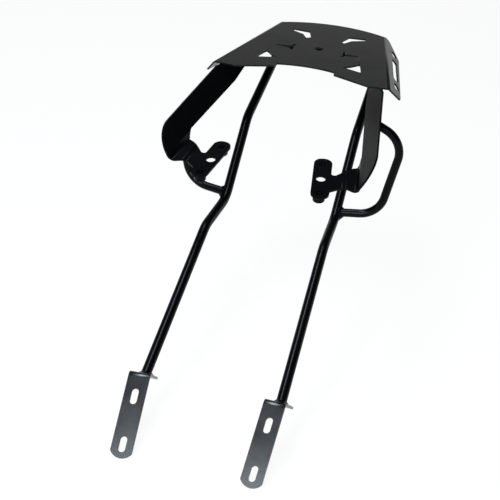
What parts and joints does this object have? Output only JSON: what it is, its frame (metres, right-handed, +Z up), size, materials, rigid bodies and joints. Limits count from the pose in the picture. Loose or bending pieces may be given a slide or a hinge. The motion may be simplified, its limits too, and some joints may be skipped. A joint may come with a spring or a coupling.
{
  "type": "motorcycle luggage rack",
  "caption": "Welded steel motorcycle luggage rack: a folded, pierced deck on two long bent struts and two folded side brackets, with grab loops, bolt tabs and slotted foot plates.",
  "frame": {"origin": "on the deck's flat top face, on the centre line, 100 mm behind the front ends of its side folds", "axes": "+Z up, square to the deck; +Y to the rear of the motorcycle; +X to its right"},
  "size_m": [0.3876, 0.8285, 0.4143],
  "materials": {
    "plate_coat": "satin black powder coat on folded sheet steel",
    "bracket_coat": "semi-gloss black powder coat on the folded side brackets",
    "foot_coat": "semi-gloss black powder coat on the folded foot brackets",
    "tube_coat": "semi-gloss black powder coat on drawn steel tube",
    "bush_coat": "semi-gloss black powder coat on a turned bush",
    "weld_coat": "black powder coat over a rippled weld bead"
  },
  "bodies": {
    "root": {"top_plate": "plate_coat", "cross_tube": "tube_coat", "left_strut_tube": "tube_coat", "right_strut_tube": "tube_coat", "left_grab_loop": "tube_coat", "right_grab_loop": "tube_coat", "left_gusset": "plate_coat", "right_gusset": "plate_coat", "left_side_bracket": "bracket_coat", "right_side_bracket": "bracket_coat", "left_foot_bracket": "foot_coat", "right_foot_bracket": "foot_coat", "left_foot_weld": "weld_coat", "right_foot_weld": "weld_coat", "left_loop_lower_weld": "weld_coat", "right_loop_lower_weld": "weld_coat", "left_loop_upper_weld": "weld_coat", "right_loop_upper_weld": "weld_coat", "left_bracket_weld": "weld_coat", "right_bracket_weld": "weld_coat", "left_front_bush": "bush_coat", "right_front_bush": "bush_coat", "left_front_bush_weld": "weld_coat", "right_front_bush_weld": "weld_coat", "left_rear_bush": "bush_coat", "right_rear_bush": "bush_coat", "left_rear_bush_weld": "weld_coat", "right_rear_bush_weld": "weld_coat"}
  },
  "joints": []
}
